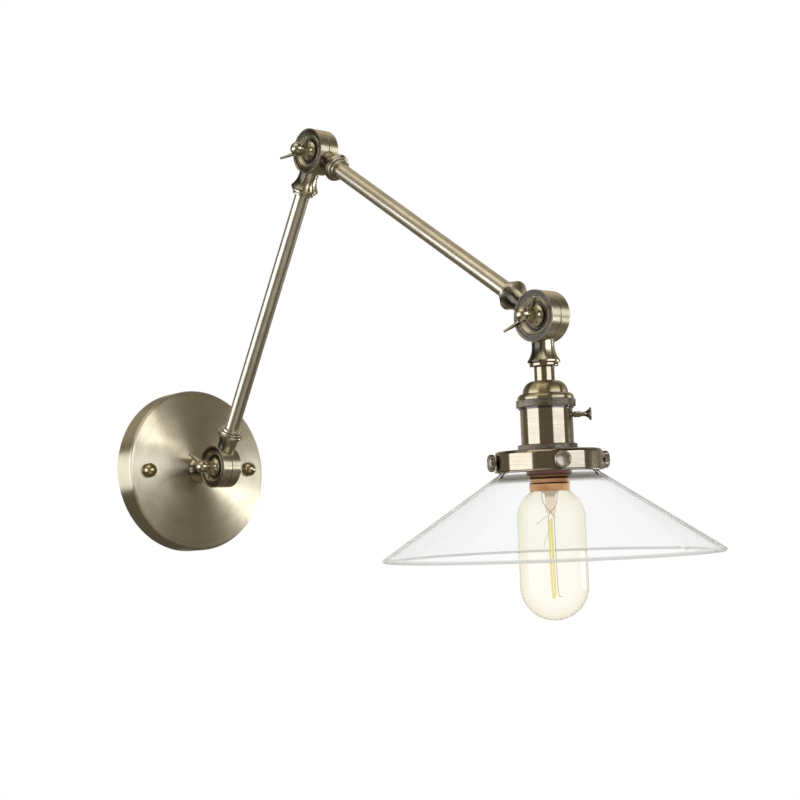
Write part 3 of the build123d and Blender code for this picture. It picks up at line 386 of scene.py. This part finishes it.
# Core, switch and contacts: a core of glazed white porcelain, black moulded plastic for the
# switch, the terminal block and the bulb's insulator, and pressed brass and copper for the
# contacts, the bulb's cap and the barrel.
porcelain = new_material("white_porcelain")
tint, cloud = mottled(porcelain, "#e4e0d4", "#f3f1ea", scale=160.0, detail=4.0)
pulled = add_node(porcelain, "Bump", {"Height": cloud}, Strength=0.1, Distance=0.0003)
glaze = add_node(porcelain, "BsdfPrincipled", {"Base Color": tint, "Normal": pulled.outputs[0]},
                 Roughness=0.15)
add_node(porcelain, "OutputMaterial", {"Surface": glaze.outputs[0]})
dress(porcelain, "socket_core")
plastic = new_material("black_moulded_plastic")
tint, grain = mottled(plastic, "#161514", "#262423", scale=2500.0, detail=2.0)
spark = add_node(plastic, "Bump", {"Height": grain}, Strength=0.2, Distance=0.0001)
moulded = add_node(plastic, "BsdfPrincipled", {"Base Color": tint, "Normal": spark.outputs[0]},
                   Roughness=0.45)
add_node(plastic, "OutputMaterial", {"Surface": moulded.outputs[0]})
dress(plastic, "switch_body", "terminal_block", "bulb_insulator")
dress(lathe_brass("bright_contact_brass", "#a8874a", "#c9a45e", head_hinge, head_axis,
                  rough=0.3, brushed=0.2), "terminal_screws", "centre_contact", "screw_shell",
      "earth_screw", "bulb_contact")
dress(lathe_brass("coppered_cap_brass", "#a8683c", "#e2b673", head_hinge, head_axis, rough=0.22,
                  brushed=0.3, ring_mm=4.0, worn_and_glint="#f0cf90"), "bulb_cap")
dress(lathe_brass("copper_barrel", "#5e321f", "#85492e", head_hinge, head_axis, rough=0.3,
                  brushed=0.4), "socket_barrel")

# Glass shade: clear glass blown into a mould, with a ground rim. The glass is water white and
# greys only a little where it is seen edge on. It bends light less than real glass does, to
# keep its outline as thin as it looks in the photograph.
painted_streak_depth = 0.1046
painted_streak_solid, painted_streak_end = 0.001, 0.0026
grind_start, grind_full = 0.1533, 0.1538


def depth_below_hinge(material):
    """Distance from the head hinge, down the lampholder's axis."""
    place = add_node(material, "TexCoord").outputs["Object"]
    from_hinge = add_node(material, "VectorMath", {0: place, 1: head_hinge},
                          operation="SUBTRACT")
    down = add_node(material, "VectorMath", {0: from_hinge.outputs[0], 1: head_axis},
                    operation="DOT_PRODUCT")
    return down.outputs["Value"]


def away_from(owner, value, middle):
    """How far a value lies from a middle one, to either side."""
    past = add_node(owner, "Math", {0: value, 1: middle}, operation="SUBTRACT")
    return add_node(owner, "Math", {0: past.outputs[0]}, operation="ABSOLUTE").outputs[0]


glass = new_material("clear_blown_glass")
edge = add_node(glass, "LayerWeight", Blend=0.25)
tint = add_node(glass, "Mix", {"Factor": edge.outputs["Facing"], "A": linear("#ffffff"),
                               "B": linear("#f1f3f2")}, data_type="RGBA")
place = add_node(glass, "TexCoord").outputs["Object"]
ripple = add_node(glass, "TexNoise", {"Vector": place}, Scale=25.0, Detail=1.0)
waves = add_node(glass, "Bump", {"Height": ripple.outputs["Fac"]}, Strength=0.015, Distance=0.002)
down = depth_below_hinge(glass)
# Painted shade: a grey band is painted into the shoulder for the holder's dark inside,
# which the shoulder bends into view
streak_shade = add_node(glass, "MapRange", {"Value": away_from(glass, down, painted_streak_depth)},
                 From_Min=painted_streak_solid, From_Max=painted_streak_end, To_Min=0.9, To_Max=0.0)
streak_shaded = add_node(glass, "Mix", {"Factor": streak_shade.outputs[0], "A": tint.outputs["Result"],
                                 "B": linear("#a3a09a")}, data_type="RGBA")
ground = add_node(glass, "MapRange", {"Value": down}, From_Min=grind_start,
                  From_Max=grind_full).outputs[0]
passing = add_node(glass, "MapRange", {"Value": ground}, To_Min=1.0, To_Max=0.5)
frosted = add_node(glass, "MapRange", {"Value": ground}, To_Min=0.0, To_Max=0.5)
rim_tint = add_node(glass, "Mix", {"Factor": ground, "A": streak_shaded.outputs["Result"],
                                   "B": linear("#e6e4e0")}, data_type="RGBA")
clear = add_node(glass, "BsdfPrincipled", {
    "Base Color": rim_tint.outputs["Result"], "Normal": waves.outputs[0],
    "Transmission Weight": passing.outputs[0], "Roughness": frosted.outputs[0]}, IOR=1.04,
    Coat_Weight=0.15)
add_node(glass, "OutputMaterial", {"Surface": clear.outputs[0]})
dress(glass, "glass_shade")

# Bulb: a tube of thin clear glass, coated inside with a faint straw tint that shows where the
# wall is seen at a slant, over a stem of glass that carries the wires. Near the cap the stem is
# painted pale and cloudy, painted light over the shade there, and it clears further down.
painted_pale_to, clear_from = 0.1155, 0.118
bulb_clear = new_material("straw_bulb_glass")
edge = add_node(bulb_clear, "LayerWeight", Blend=0.5)
slant = add_node(bulb_clear, "MapRange", {"Value": edge.outputs["Facing"]}, From_Min=0.2,
                 From_Max=0.85)
tint = add_node(bulb_clear, "Mix", {"Factor": slant.outputs[0], "A": linear("#fffef8"),
                                    "B": linear("#f8f3e3")}, data_type="RGBA")
clear = add_node(bulb_clear, "BsdfPrincipled", {"Base Color": tint.outputs["Result"]},
                 Roughness=0.0, IOR=1.09, Coat_Weight=0.15, Transmission_Weight=1.0)
add_node(bulb_clear, "OutputMaterial", {"Surface": clear.outputs[0]})
dress(bulb_clear, "bulb_glass")
stem_clear = new_material("clear_stem_glass")
tint, _ = mottled(stem_clear, "#fff6ec", "#f0dcc8", scale=300.0, detail=2.0)
passing = add_node(stem_clear, "MapRange", {"Value": depth_below_hinge(stem_clear)},
                   From_Min=painted_pale_to, From_Max=clear_from, To_Min=0.15, To_Max=0.9)
clear = add_node(stem_clear, "BsdfPrincipled", {
    "Base Color": tint, "Transmission Weight": passing.outputs[0]}, Roughness=0.05, IOR=1.1)
add_node(stem_clear, "OutputMaterial", {"Surface": clear.outputs[0]})
dress(stem_clear, "bulb_stem")

# Wires in the bulb: two leads cross at the pinch of the stem, a long thin rod and short
# hooks of oxidised nickel wire hold the carbon filament, which hangs in one long hairpin.
wire_turn = math.radians(-41.6)
wire_side = Vector((math.cos(wire_turn), math.sin(wire_turn), 0))


def wires(name, radius, runs):
    """Round wires through points given in mm across the bulb and down from the hinge."""
    curve = bpy.data.curves.new(name, "CURVE")
    curve.dimensions = "3D"
    curve.bevel_depth = radius / 1000
    curve.bevel_resolution = 3
    curve.use_fill_caps = True
    for run in runs:
        spline = curve.splines.new("NURBS")
        spline.points.add(len(run) - 1)
        for point, (across_mm, down_mm) in zip(spline.points, run):
            place = wire_side * (across_mm / 1000) + Vector((0, 0, down_mm / 1000))
            point.co = (*place, 1)
        spline.order_u = 3
        spline.use_endpoint_u = True
    piece = bpy.data.objects.new(name, curve)
    bpy.context.scene.collection.objects.link(piece)
    bpy.context.view_layer.objects.active = piece
    piece.select_set(True)
    bpy.ops.object.convert(target="MESH")
    piece.data.transform(head_frame)
    bpy.ops.object.shade_smooth()
    piece.select_set(False)
    return piece


leads = wires("lead_wires", 0.22, [
    [(-5.6, 114.6), (-5.4, 120.0), (-3.0, 124.0), (0.6, 127.6), (2.0, 131.0)],
    [(4.6, 114.6), (4.4, 120.0), (2.6, 124.0), (-1.2, 127.6), (-2.0, 132.5), (-2.0, 136.0)],
    [(1.9, 128.0), (1.9, 150.0), (2.1, 180.0), (3.6, 181.6), (4.4, 180.6)],
])
hooks = wires("filament_hooks", 0.13, [
    [(-1.9, 129.4), (-4.0, 130.2), (-7.0, 132.4), (-8.6, 134.4), (-10.2, 134.2)],
    [(-2.4, 140.0), (-3.6, 143.0), (-5.6, 146.4), (-5.0, 149.4)],
    [(-1.7, 143.0), (-1.4, 146.0), (-1.8, 149.4)],
])
oxide = new_material("oxidised_nickel_wire")
tint, _ = mottled(oxide, "#a98a74", "#d8b89c", scale=900.0, detail=3.0)
drawn = add_node(oxide, "BsdfPrincipled", {"Base Color": tint}, Metallic=1.0, Roughness=0.35)
add_node(oxide, "OutputMaterial", {"Surface": drawn.outputs[0]})
for piece in (leads, hooks):
    piece.data.materials.append(oxide)
    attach(piece, "bulb")
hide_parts("bulb_supports")

filament = wires("hairpin_filament", 0.7, [
    [(-1.7, 132.0), (-1.8, 150.0), (-1.6, 172.0), (-1.4, 180.6), (-0.5, 182.0), (0.4, 180.6),
     (0.3, 172.0), (0.1, 150.0), (0.1, 131.0)],
])
carbon = new_material("gold_toned_filament")
place = add_node(carbon, "TexCoord").outputs["Object"]
coils = add_node(carbon, "TexWave", {"Vector": place}, Scale=900.0, bands_direction="Z")
tint = add_node(carbon, "Mix", {"Factor": coils.outputs["Fac"], "A": linear("#efe58c"),
                                "B": linear("#fdf8b8")}, data_type="RGBA")
wound = add_node(carbon, "BsdfPrincipled", {"Base Color": tint.outputs["Result"]},
                 Metallic=0.8, Roughness=0.5)
add_node(carbon, "OutputMaterial", {"Surface": wound.outputs[0]})
filament.data.materials.append(carbon)
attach(filament, "bulb")
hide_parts("bulb_filament")

# Floor: a sheet of white paper that thins out to nothing well away from the lamp, so that no
# edge of it shows. For mirrored rays it is a dull grey floor instead, with one pale patch to
# the front left, which the first arm mirrors.
floor_width = 8.0
floor_centre = (-0.3, -0.6, -1.3)
patch_side, patch_side_end = 0.2, 0.6
patch_back, patch_back_end = -0.4, 0.0
fade_start, fade_end = 1.2, 3.8
bpy.ops.mesh.primitive_plane_add(size=floor_width, location=floor_centre)
floor = bpy.context.object
floor.name = "studio_floor"
paper = new_material("white_floor_paper")
floor_path = add_node(paper, "LightPath")
seen_direct = add_node(paper, "Math", {0: floor_path.outputs["Transmission Depth"], 1: 0.5},
                       operation="LESS_THAN")
mirrored_floor = add_node(paper, "Math", {0: floor_path.outputs["Is Glossy Ray"],
                                          1: seen_direct.outputs[0]}, operation="MULTIPLY")
floor_place = add_node(paper, "TexCoord").outputs["Object"]
spot = add_node(paper, "SeparateXYZ", {"Vector": floor_place})
leftwards = add_node(paper, "MapRange", {"Value": spot.outputs["X"]}, From_Min=patch_side,
                     From_Max=patch_side_end, To_Min=1.0, To_Max=0.0)
forwards = add_node(paper, "MapRange", {"Value": spot.outputs["Y"]}, From_Min=patch_back,
                    From_Max=patch_back_end, To_Min=1.0, To_Max=0.0)
in_front = add_node(paper, "Math", {0: leftwards.outputs[0], 1: forwards.outputs[0]},
                    operation="MULTIPLY")
mirror_tone = add_node(paper, "Mix", {"Factor": in_front.outputs[0], "A": linear("#6e6a61"),
                                      "B": linear("#f4f1ea")}, data_type="RGBA")
sheet = add_node(paper, "Mix", {"Factor": mirrored_floor.outputs[0], "A": linear("#f7f7f7"),
                                "B": mirror_tone.outputs["Result"]}, data_type="RGBA")
fibres = add_node(paper, "TexNoise", {"Vector": floor_place}, Scale=400.0, Detail=3.0)
tooth = add_node(paper, "Bump", {"Height": fibres.outputs["Fac"]}, Strength=0.1, Distance=0.001)
matte = add_node(paper, "BsdfPrincipled", {"Base Color": sheet.outputs["Result"],
                                           "Normal": tooth.outputs[0]}, Roughness=0.9)
out_from_lamp = add_node(paper, "VectorMath", {0: floor_place}, operation="LENGTH")
thin = add_node(paper, "MapRange", {"Value": out_from_lamp.outputs["Value"]},
                From_Min=fade_start, From_Max=fade_end)
nothing = add_node(paper, "BsdfTransparent")
faded = add_node(paper, "MixShader", {0: thin.outputs[0], 1: matte.outputs[0],
                                      2: nothing.outputs[0]})
add_node(paper, "OutputMaterial", {"Surface": faded.outputs[0]})
floor.data.materials.append(paper)

# World: plain white for the camera and through glass. Mirrored rays meet a darker, warmer room
# instead, with a bright patch behind the lamp and a pale strip of ceiling, placed for the
# metal to mirror at the photograph's angle.
wall_middle = 0.12
strip_middle = 0.25
backlight_direction = (0.68, 0.73, 0.0)
room_warmth = (1.1, 1.0, 0.85, 1.0)
world = bpy.data.worlds.new("white_studio")
bpy.context.scene.world = world
world.use_nodes = True
world.node_tree.nodes.clear()
path = add_node(world, "LightPath")
gaze = add_node(world, "TexCoord").outputs["Generated"]
behind = add_node(world, "VectorMath", {0: gaze, 1: backlight_direction},
                  operation="DOT_PRODUCT")
backlight = add_node(world, "MapRange", {"Value": behind.outputs["Value"]}, From_Min=0.9,
                     From_Max=1.0, To_Min=0.0, To_Max=0.9)
heading = add_node(world, "SeparateXYZ", {"Vector": gaze})
walls = add_node(world, "MapRange", {"Value": away_from(world, heading.outputs["Z"],
                                                        wall_middle)},
                 From_Min=0.2, From_Max=0.5, To_Min=0.31, To_Max=0.08)
strip = add_node(world, "MapRange", {"Value": away_from(world, heading.outputs["Y"],
                                                        strip_middle)},
                 From_Min=0.26, From_Max=0.38, To_Min=0.72, To_Max=0.0)
overhead = add_node(world, "MapRange", {"Value": heading.outputs["Z"]}, From_Min=0.5,
                    From_Max=0.6)
ceiling = add_node(world, "Math", {0: strip.outputs[0], 1: overhead.outputs[0]},
                   operation="MULTIPLY")
lit = add_node(world, "Math", {0: walls.outputs[0], 1: backlight.outputs[0]},
               operation="MAXIMUM")
room = add_node(world, "Math", {0: lit.outputs[0], 1: ceiling.outputs[0]},
                operation="MAXIMUM")
through = add_node(world, "Math", {0: path.outputs["Transmission Depth"], 1: 1.0},
                   operation="MINIMUM")
not_scattered = add_node(world, "Math", {0: through.outputs[0],
                                         1: path.outputs["Is Diffuse Ray"]},
                         operation="SUBTRACT", use_clamp=True)
sight = add_node(world, "Math", {0: path.outputs["Is Camera Ray"], 1: not_scattered.outputs[0]},
                 operation="MAXIMUM")
mirrored = add_node(world, "Mix", {"Factor": path.outputs["Is Glossy Ray"],
                                   "B": room.outputs[0]}, A=0.75)
level = add_node(world, "Mix", {"Factor": sight.outputs[0], "A": mirrored.outputs[0]}, B=1.0)
only_mirrored = add_node(world, "Math", {0: path.outputs["Is Glossy Ray"], 1: sight.outputs[0]},
                         operation="SUBTRACT", use_clamp=True)
warmth = add_node(world, "Mix", {"Factor": only_mirrored.outputs[0], "A": linear("#ffffff"),
                                 "B": room_warmth}, data_type="RGBA")
backdrop = add_node(world, "Background", {"Strength": level.outputs[0],
                                          "Color": warmth.outputs["Result"]})
add_node(world, "OutputWorld", {"Surface": backdrop.outputs[0]})

# Lamps: three soft boxes that only mirrored rays meet, as bars of light on the metal, and one
# lamp overhead that also lights what is matte. Turn and rise are in degrees from the lamp's
# front, and a radiance of 1 shows as white.
watts_for_white = 4
aim = Vector(head_hinge)
for name, turn, rise, distance, width, height, radiance, colour, gloss_only in (
    ("right_soft_box", 6.0, 8.5, 2.5, 2.58, 1.12, 3.3, (0.87, 0.97, 1.2), True),
    ("left_soft_box", -110.7, 3.0, 2.5, 2.67, 1.62, 3.3, (0.87, 0.97, 1.2), True),
    ("low_soft_box", 68.0, -8.5, 3.0, 1.3, 0.42, 13.0, (0.92, 0.98, 1.12), True),
    ("overhead_key", -70.0, 60.0, 2.5, 2.0, 2.0, 1.2, (1.0, 1.0, 1.0), False),
):
    towards = Vector((math.sin(math.radians(turn)) * math.cos(math.radians(rise)),
                      -math.cos(math.radians(turn)) * math.cos(math.radians(rise)),
                      math.sin(math.radians(rise))))
    bpy.ops.object.light_add(type="AREA", location=aim + towards * distance)
    lamp = bpy.context.object
    lamp.name = name
    lamp.data.shape = "RECTANGLE"
    lamp.data.size = width
    lamp.data.size_y = height
    lamp.data.color = colour
    lamp.data.energy = radiance * watts_for_white * width * height
    lamp.rotation_euler = towards.to_track_quat("Z", "Y").to_euler()
    lamp.visible_camera = False
    lamp.visible_transmission = False
    lamp.visible_diffuse = not gloss_only

# Camera: at the photograph's own angle, a little below the elbow and to the left, with the
# lens that was fitted to the photograph
camera_data = bpy.data.cameras.new("photo_camera")
camera = bpy.data.objects.new("photo_camera", camera_data)
bpy.context.scene.collection.objects.link(camera)
camera_data.sensor_width = 36.0
camera_data.lens = 67.887
camera.location = (-0.73126, -1.05253, -0.08719)
camera.rotation_euler = (math.radians(96.1145), math.radians(3.9375), math.radians(-42.6286))
bpy.context.scene.camera = camera
bpy.context.scene.view_settings.view_transform = "Standard"
